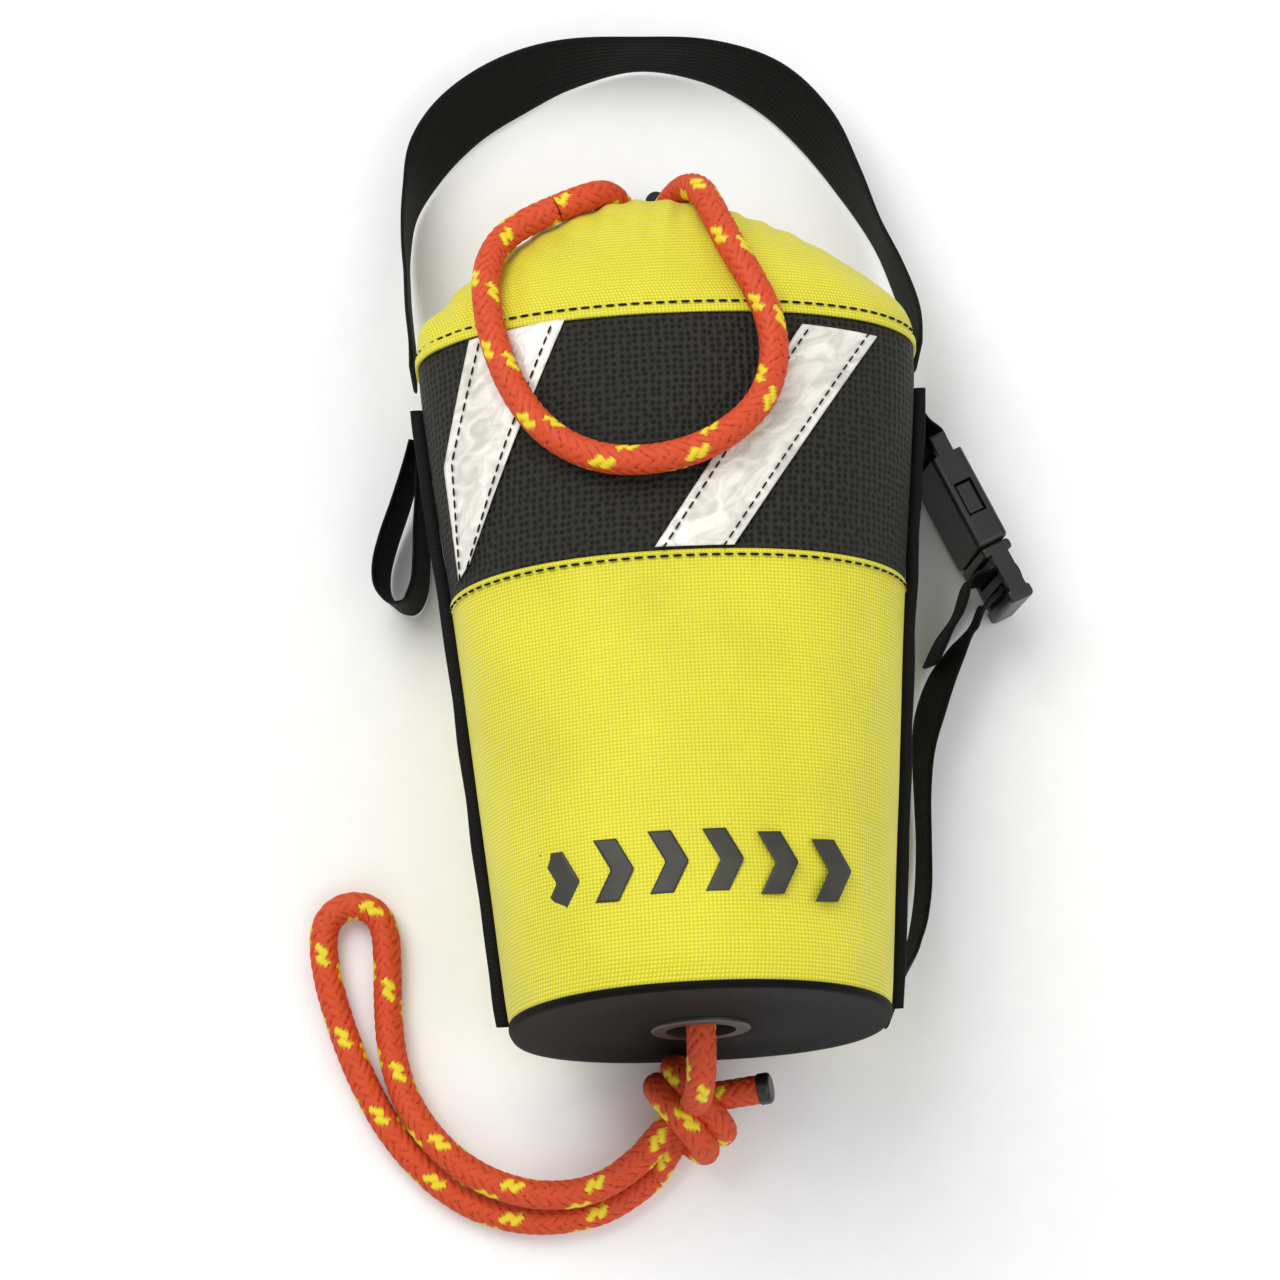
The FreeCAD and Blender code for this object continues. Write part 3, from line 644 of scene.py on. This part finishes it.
class THROWBAG_OT_stage(bpy.types.Operator):
    """Set the pale floor, the soft lights and the camera"""
    bl_idname = "throwbag.stage"
    bl_label = "Stage"

    def execute(self, context):
        for name in ("Cube", "Light", "Camera"):
            spare = bpy.data.objects.get(name)
            if spare:
                bpy.data.objects.remove(spare)
        bpy.ops.object.select_all(action="DESELECT")
        bpy.ops.mesh.primitive_plane_add(size=6.0, location=(0, 0, -0.0005))
        floor = context.object
        floor.name = "floor"
        pale = grained("painted_studio_floor", linear("#f4f4f2"), 0.8, 2.0, 0.02, 1.02)
        floor.data.materials.append(pale)
        for name, place, size, power in (
                ("key_light", (-0.55, 0.75, 1.25), 1.1, 15.5),
                ("fill_light", (0.9, -0.3, 1.1), 1.3, 5.5),
                ("base_light", (-0.1, -1.1, 0.8), 1.2, 2.5)):
            bpy.ops.object.light_add(type="AREA", location=place)
            light = context.object
            light.name = name
            light.data.size = size
            light.data.energy = power
            light.rotation_euler = (-Vector(place)).to_track_quat("-Z", "Y").to_euler()
        world = context.scene.world or bpy.data.worlds.new("studio")
        context.scene.world = world
        world.use_nodes = True
        sky = world.node_tree.nodes["Background"]
        sky.inputs[0].default_value = (0.95, 0.96, 1.0, 1)
        sky.inputs[1].default_value = 0.56
        azimuth, elevation = math.radians(-2.7), math.radians(80.0)
        look = Vector((-math.sin(azimuth) * math.cos(elevation), math.cos(azimuth) * math.cos(elevation),
                       -math.sin(elevation)))
        bpy.ops.object.camera_add(location=Vector((-0.013, 0.0, 0.040)) - look * 0.992)
        camera = context.object
        camera.name = "studio_camera"
        camera.rotation_euler = look.to_track_quat("-Z", "Y").to_euler()
        camera.data.lens = 85.8
        camera.data.sensor_width = 36.0
        context.scene.camera = camera
        context.scene.view_settings.view_transform = "Standard"
        return {"FINISHED"}


class THROWBAG_OT_ropes(bpy.types.Operator):
    """Lay the hand loop, the thrower's loop and the ropes that join them to the bag"""
    bl_idname = "throwbag.ropes"
    bl_label = "Ropes"

    def execute(self, context):
        for name, body, nodes, long, lay, route in ROPES:
            piece, path = braided(name + "_rope", [route], body, nodes)
        return {"FINISHED"}


ROPES = [
    ("hand_loop", "hand_loop", ("hand_loop",), 0.349, "loose", [
        (-16.5, -171.5, 5.2), (-27, -179.5, 4.9), (-41, -184, 4.8), (-58, -184.5, 4.8), (-75, -179.5, 4.8),
        (-90, -168.5, 4.8), (-102.5, -153, 4.8), (-111.5, -135, 4.8), (-118, -116, 4.8), (-122, -99, 4.8),
        (-122.3, -85.4, 4.8), (-116.4, -79, 4.8), (-107.7, -78.8, 4.8), (-101.6, -85, 4.8),
        (-101.2, -98.5, 4.8), (-101.7, -115, 4.8), (-100.5, -131, 5.5), (-95.5, -146, 8), (-86, -159.5, 11.5),
        (-73, -170, 13.2), (-57, -176, 13.4), (-41, -176.5, 13), (-28, -172, 13.4), (-19.5, -165, 14.6)]),
    ("throat", "bag", ("rope_throat",), 0.067, "loose", [
        (0, -104, 61), (0, -114, 60.4), (0, -124.5, 60.6), (0, -134.5, 59), (-0.6, -143, 53.5),
        (-1.6, -147.5, 45), (-2.4, -149, 36), (-2.6, -149.6, 28)]),
    ("thrower_loop", "thrower_loop", ("thrower_loop",), 0.263, "loose", [
        (-34, 142, 55.5), (-45.5, 137.5, 56), (-54, 129.5, 59), (-57.5, 117, 67.5), (-57, 102, 75),
        (-54, 87, 80), (-49, 73, 84), (-41.5, 61, 87.5), (-32, 52.5, 91.5), (-20.5, 47.5, 94.5),
        (-7.5, 46.5, 96), (6, 49, 95.5), (18, 55, 94), (28.5, 65, 91), (33.5, 78.5, 87.5), (33, 93.5, 84),
        (28, 107, 81), (22.5, 119, 77), (18.8, 129, 72.5), (16.3, 137, 67)]),
    ("mouth_left", ("bag", "thrower_loop", (-0.0165, 0.1494, 0.048), (-0.0336, 0.14215, 0.0555)), ("mouth_rope_left",), 0.0637, "loose", [
        (-33.6, 142.15, 55.5), (-24.9, 145.5, 55.1), (-16.5, 149.4, 48), (-11.3, 145.5, 38.5),
        (-11.1, 135.8, 32.4), (-11.5, 125.2, 31.2), (-11.5, 114.7, 32.2)]),
    ("mouth_right", ("bag", "thrower_loop", (0.0102, 0.149, 0.0518), (0.0162, 0.1373, 0.0667)), ("mouth_rope_right",), 0.0713, "loose", [
        (16.2, 137.3, 66.7), (14.1, 144.4, 61.2), (10.2, 149, 51.8), (6, 149.2, 43.2), (1.5, 145, 35.2),
        (-1.2, 136.2, 31), (-1.4, 125.2, 30.2), (-1.2, 114.3, 31.6)]),
]


class THROWBAG_OT_knot(bpy.types.Operator):
    """Tie the stopper knot with its two wraps, its tail and the sealed tip"""
    bl_idname = "throwbag.knot"
    bl_label = "Stopper Knot"

    def execute(self, context):
        middle = Vector((-4.0, -151.0, 17.8))
        way, row = Vector((0.69, -0.72, 0)), Vector((0.72, 0.69, 0))
        wraps = [middle]
        for k in range(17):
            turn = math.pi / 4 * k - math.pi / 2
            wraps.append(middle + way * 13.6 * math.cos(turn) + Vector((0, 0, 13.6)) * math.sin(turn)
                         + row * (-8.2 + 16.4 * k / 16))
        wraps.append(middle + row * 2)
        low = [(-16.5, -171.5, 5.2), (-11, -163, 8), (-6, -156, 13), (-3, -150, 20), (-2.6, -149.6, 28)]
        high = [(-19.5, -165, 14.6), (-13, -158, 17), (-6, -152, 18), (0, -149, 22), (4, -147.5, 26)]
        braided("stopper_knot_turns", [[tuple(p) for p in wraps], low, high], "bag", ("stopper_knot",))
        start, run = Vector((4, -147.5, 26)), Vector((0.96, 0.10, 0.24)).normalized()
        braided("rope_tail_end", [[tuple(start + run * t) for t in (0, 7.5, 15)]], "bag", ("rope_tail",))
        dressed("rope_tail_tip", moulded_plastic())
        return {"FINISHED"}


class THROWBAG_OT_cloth(bpy.types.Operator):
    """Sew the lower panels, the mesh band and the gathered collar"""
    bl_idname = "throwbag.cloth"
    bl_label = "Bag Cloth"

    def execute(self, context):
        deep = context.scene.throw_bag_sizes.wrinkle / MM
        dents = [(30, -38, 20, 1.6), (44, -92, 16, 1.4), (20, -72, 14, 0.9), (-40, -20, 24, 1.0), (48, -10, 15, 1.1)]

        def lower(p, station, edge):
            grow = folds(p, 2.0, deep) - 0.3
            for x, y, wide, depth in dents:
                away = ((p.x - x) ** 2 + (p.y - y) ** 2) / (wide * wide)
                grow -= depth * math.exp(-away) if p.z > 30 else 0.0
            pull = min(1.0, (5.0 - station) / 9.0, (station + 134) / 8.0, edge * 14)
            return grow * max(0.0, pull) + (0.35 if station > 3.2 else 0.0)

        def band(p, station, edge):
            return folds(p, 7.0, deep * 0.6) * min(1.0, edge * 14) - 0.2

        def collar(p, station, edge):
            grow = folds(p, 11.0, deep * 0.8) * min(1.0, edge * 14)
            gather = max(0.0, (station - 112) / 29)
            grow += gather * (1.1 + math.sin(p.x * 0.62 + 2 * noise.noise(p * 0.05)))
            left = max(0.0, (-p.x - 30) / 40)
            grow += left * 0.7 * (1.0 + math.sin(p.x * 0.55)) * min(1.0, (station - 87) / 10)
            return grow + (0.7 if station < 89.6 else 0.15)

        for half, front in (("front", True), ("back", False)):
            cloth_panel("lower_panel_" + half, -132.8, 5.0, front, lower, pack_nylon(), 150, 220)
            cloth_panel("mesh_panel_" + half, 5.0, 87.0, front, band, knotted_mesh(), 90, 200)
            cloth_panel("collar_" + half, 87.0, 140.5, front, collar, pack_nylon(), 110, 220)
        lines = []
        for station, grow in ((2.9, 0.7), (90.6, 0.7)):
            lines.append([bag_point(station, math.pi * (0.02 + 0.96 * k / 260), grow) for k in range(261)])
        stitches("seam_stitches", lines)
        return {"FINISHED"}


class THROWBAG_OT_base(bpy.types.Operator):
    """Make the coated base disc, the foam float and the rope stuffed inside"""
    bl_idname = "throwbag.base"
    bl_label = "Base and Filling"

    def execute(self, context):
        shares = [0.205 + 0.795 * k / 26 for k in range(27)]
        outside = [(-135.0 + 0.9 * math.sin(math.pi * (s - 0.26) / 0.74) ** 2 * (s > 0.3), s, 0.0) for s in shares]
        outside += [(-134.0, 1.0, 0.5), (-132.8, 1.0, 0.3)]
        inside = [(-133.0, s, 0.0) for s in reversed(shares[:-1])]
        annulus("base_panel", outside + inside + outside[:1], 200, coated_cloth())
        foam = grained("closed_cell_polyethylene", linear("#d9d8d0"), 0.8, 1.5, 0.5, 0.9)
        ring = [(-132.4, 0.29, 0), (-132.4, 0.97, 0), (-131.4, 1.0, 0), (-118.4, 1.0, 0), (-117.5, 0.97, 0),
                (-117.5, 0.29, 0), (-132.4, 0.29, 0)]
        annulus("foam_float", ring, 96, foam, inset=2.2)
        plug = [(-116.3, 0.0, 0)]
        for k in range(120):
            station = -116.0 + 226.0 * k / 119
            plug.append((station, min(1.0, 0.9 + 0.1 * k, 0.9 + 0.1 * (119 - k)),
                         -0.6 - 1.6 * abs(math.sin(math.pi * station / 9.5))))
        plug.append((110.3, 0.0, 0))
        # this rope has no braid attribute, so the rope finish paints it all over with the darkest groove tone, a
        # painted shade
        annulus("stowed_rope", plug, 120, braided_rope(), inset=2.2)
        return {"FINISHED"}


class THROWBAG_OT_trim(bpy.types.Operator):
    """Sew on the side bindings, the reflective tapes and the printed bars"""
    bl_idname = "throwbag.trim"
    bl_label = "Bindings and Tapes"

    def execute(self, context):
        for name, turn, side in (("side_binding_right", 0.0, 1), ("side_binding_left", math.pi, -1)):
            verts, uvs, rows, ring = [], [], 150, 12
            for i in range(rows):
                station = -132.0 + (87.0 - STRAP_SEAT + 132.0) * i / (rows - 1)
                edge = bag_point(station, turn)
                sway = 0.45 * noise.noise(Vector((station * 0.06, turn, 0)))
                for j in range(ring):
                    angle = 2 * math.pi * j / ring
                    c, s = math.cos(angle), math.sin(angle)
                    verts.append(edge + Vector((
                        side * (1.9 + 2.1 * math.copysign(abs(c) ** 0.6, c)) + sway, 0,
                        1.35 * math.copysign(abs(s) ** 0.6, s) + sway)))
                    uvs.append((j * 1.0, station))
            faces = grid_faces(rows, ring, closed=True)
            faces += [tuple(range(ring)), tuple((rows - 1) * ring + j for j in range(ring - 1, -1, -1))]
            clean(build(name + "_tape", verts, faces, uvs, nylon_webbing(), nodes=(name,)))
        edges = {
            "right": ([(-7.5, 19.4), (43.2, 93.4)], [(17.1, 19.2), (67.9, 91.2)]),
            "left": ([(-70.0, 17.5), (-73.5, 55.0), (-63.5, 95.5)], [(-66.0, 22.0), (-50.0, 59.0), (-32.3, 98.4)]),
        }
        lines = []
        for side, (left, right) in edges.items():
            strip("tape_" + side, left, right, 0.75, vinyl_tape(),
                  ("reflective_tape_" + side,), crinkle=0.5)
            for share in (0.12, 0.88):
                ends = [Vector(a).lerp(Vector(b), share) for a, b in zip(left, right)]
                run = []
                for a, b in zip(ends, ends[1:]):
                    run += [a.lerp(b, k / 40) for k in range(41)]
                lines.append([on_front(p.x, p.y, 1.3) for p in run])
        stitches("tape_stitches", lines, wide=0.6)
        ink = grained("screen_printed_ink", linear("#2a2a22"), 0.55, 0.8, 0.2, 1.6)
        for k in range(6):
            x = -47.0 + 16.4 * k
            y = -95.0 + 5.5 * math.sin(math.pi * (k + 0.5) / 6)
            strip("printed_bar_%d" % k, [(x, y), (x + 5.0, y + 9.5), (x, y + 19.0)],
                  [(x + 7.0, y), (x + 12.0, y + 9.5), (x + 7.0, y + 19.0)], 0.3, ink,
                  rows=24, columns=8)
        return {"FINISHED"}


class THROWBAG_OT_webbing(bpy.types.Operator):
    """Thread the carry strap, the tab loop and the buckle's two straps"""
    bl_idname = "throwbag.webbing"
    bl_label = "Webbing"

    def execute(self, context):
        inside = 84.3
        strap("carry_strap", [(s * inside, *rest) for s, *rest in ARCH], "carry_strap")
        strap("tab_loop", [(-size_at(y)[0] / 2 - gap, y, *rest) for gap, y, *rest in TAB], "tab_loop")
        way, up = Vector((0.4079933, -0.9129849, 0)), Vector((0.0954329, 0.0426469, 0.9945219))
        through = Vector((-0.9079835, -0.4057582, 0.1045285))
        lean = (up.x / up.z, up.y / up.z)

        def buckle(x, z):
            p = Vector((86.593, 65.0, 17.808)) + way * x + through * z
            return (p.x, p.y, p.z - 12.5, *lean)

        def side(gap, y, z, *rest):
            return (size_at(y)[0] / 2 + gap, y, z, *rest)

        strap("buckle_tab", [buckle(x, z) for x, z in (
            (-11, 1.0), (-6, 1.7), (-2, 3.55), (1, 3.85), (BAR + 1.2, 3.15), (BAR + 2.2, 1.2), (BAR + 2.2, -1.2),
            (BAR + 1.2, -3.15), (1, -3.85), (-2, -3.55), (-6, -1.7), (-11, -1.0))], "bag")
        a, b, over = 48.55, 48.55 + 4.4 + BAR, 4.25
        strap("adjusting_strap", [
            side(1.1, -122.5, 28.5, 0, 0), side(2.8, -116, 24, 0, 0), side(6.5, -107, 15.5, 0.05, 0),
            side(9.8, -96, 8, 0.1, 0), side(11.5, -83, 2.7, 0.12, 0), side(11.4, -68, 1.1, 0.1, 0),
            side(10.5, -53, 1, 0.12, 0), side(10.3, -39, 0.9, 0.2, 0), side(11.8, -26, 0.5, 0.32, -0.1),
            side(15.2, -14, 0.7, 0.3, -0.15), side(20.1, -4.5, 1.7, 0.2, -0.1), side(24.9, 3, 3.5, *lean),
            buckle(b + 1.2, 9), buckle(b + 0.2, 4), buckle(b, 0), buckle(b - 0.6, 0.8 - over),
            buckle(b - 2.2, -over), buckle(a + 2.2, -over), buckle(a + 0.6, 0.8 - over), buckle(a, 0),
            buckle(a - 0.2, 4), buckle(a - 1, 9), side(19.6, 8, 3, *lean), side(15.2, 0, 1.5, 0.15, 0),
            side(11.5, -8.5, 1.1, 0.15, 0)], ("bag", "buckle_male", (0.078, -0.100, 0.02), (0.098, -0.008, 0.018)))
        return {"FINISHED"}


BAR = 3.0
ARCH = [
    (-1.0, 94, 17.5, 0, 0), (-1.0, 104, 15.5, 0, 0), (-1.011, 116, 10.5, 0, 0), (-1.02, 130, 5, 0.02, 0),
    (-1.023, 145, 2, -0.03, 0), (-0.996, 161, 1.1, -0.15, 0.05), (-0.919, 177, -0.3, -0.45, 0.3),
    (-0.783, 190.5, -1.5, -0.55, 0.55), (-0.593, 200.5, -1.3, -0.35, 0.7), (-0.356, 207.5, 0.1, -0.1, 0.42),
    (-0.059, 210, 1.1, 0, 0.12), (0.237, 206.5, 0.7, 0.1, 0.25), (0.486, 196.5, -0.2, 0.35, 0.4),
    (0.664, 180.5, -0.1, 0.4, 0.3), (0.789, 161, 0.7, 0.22, 0.1), (0.884, 142, 2.5, 0.05, 0),
    (0.955, 124, 6.5, 0.08, 0), (1.0, 107, 13.5, 0.06, 0), (1.0, 94, 16.5, 0.02, 0)]
TAB = [
    (2.7, 75, 7, -0.12, 0), (6.4, 66, 4.8, -0.13, 0), (12, 54, 2.4, -0.15, 0), (17.7, 42.5, 1, -0.16, 0),
    (21.4, 33, 0.7, -0.16, 0), (22.1, 25.5, 0.7, -0.16, 0), (18.9, 20.3, 0.7, -0.16, 0),
    (14, 20, 0.7, -0.16, 0), (10.1, 25.5, 0.7, -0.16, 0), (7.9, 34, 0.8, -0.16, 0), (6.1, 45, 1.4, -0.15, 0),
    (3.6, 58, 3.4, -0.13, 0), (0.8, 74, 7, -0.12, 0)]


class THROWBAG_OT_fittings(bpy.types.Operator):
    """Finish the buckle, the grommet, the cord lock and the drawcord"""
    bl_idname = "throwbag.fittings"
    bl_label = "Fittings"

    def execute(self, context):
        for node in ("buckle_female", "buckle_male", "buckle_prong_upper", "buckle_prong_lower", "lock_barrel",
                     "lock_plunger"):
            dressed(node, moulded_plastic())
        for node in ("grommet_eyelet", "grommet_washer"):
            dressed(node, black_brass())
        # drawn spring wire: bright and smooth
        dressed("lock_spring", grained("drawn_spring_steel", linear("#b8b8b4"), 0.3, 0.8, 0.1, 0.8, Metallic=1.0))
        # tightly braided polyester cord: dull, with a fine tooth
        dressed("mouth_drawcord", grained("braided_polyester_cord", linear("#121210"), 0.8, 0.6, 0.8, 2.2))
        return {"FINISHED"}


STEPS = ("stage", "knot", "ropes", "cloth", "base", "trim", "webbing", "fittings")


class THROWBAG_PT_panel(bpy.types.Panel):
    bl_idname = "THROWBAG_PT_panel"
    bl_label = "Throw Bag"
    bl_space_type = "VIEW_3D"
    bl_region_type = "UI"
    bl_category = "Throw Bag"

    def draw(self, context):
        for group in (context.scene.throw_bag_sizes, context.scene.throw_bag_colours):
            for key in group.__annotations__:
                self.layout.prop(group, key)
        for step in STEPS:
            self.layout.operator("throwbag." + step)


CLASSES = (
    ThrowBagSizes, ThrowBagColours, THROWBAG_OT_stage, THROWBAG_OT_ropes, THROWBAG_OT_knot, THROWBAG_OT_cloth,
    THROWBAG_OT_base, THROWBAG_OT_trim, THROWBAG_OT_webbing, THROWBAG_OT_fittings, THROWBAG_PT_panel)


def register():
    for item in CLASSES:
        bpy.utils.register_class(item)
    bpy.types.Scene.throw_bag_sizes = bpy.props.PointerProperty(type=ThrowBagSizes)
    bpy.types.Scene.throw_bag_colours = bpy.props.PointerProperty(type=ThrowBagColours)


def unregister():
    del bpy.types.Scene.throw_bag_colours
    del bpy.types.Scene.throw_bag_sizes
    for item in reversed(CLASSES):
        bpy.utils.unregister_class(item)


def main():
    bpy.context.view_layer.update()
    register()
    for step in STEPS:
        getattr(bpy.ops.throwbag, step)()


if __name__ == "__main__":
    main()
